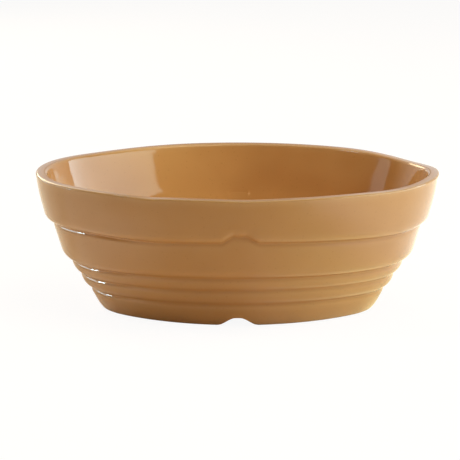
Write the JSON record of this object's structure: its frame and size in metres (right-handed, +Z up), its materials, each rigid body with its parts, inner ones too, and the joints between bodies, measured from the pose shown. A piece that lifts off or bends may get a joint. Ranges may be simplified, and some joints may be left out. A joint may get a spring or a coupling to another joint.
{
  "type": "pie dish",
  "caption": "Deep oval stoneware pie dish with a plain rim, a stepped and ribbed outside, a smooth glazed inside and a bare foot ring with drain notches.",
  "frame": {"origin": "middle of the plane that the dish stands on", "axes": "+X along the dish's length, +Y across it, +Z up out of its mouth; the picture looks along +Y from above"},
  "size_m": [0.28, 0.21, 0.096],
  "materials": {
    "bare_clay": "matte, unglazed and fired",
    "inside_glaze": "glossy amber glaze",
    "outside_glaze": "glossy cane-coloured glaze"
  },
  "bodies": {
    "root": {"clay_body": "bare_clay", "inside_glaze": "inside_glaze", "outside_glaze": "outside_glaze", "underside_glaze": "outside_glaze"}
  },
  "joints": []
}
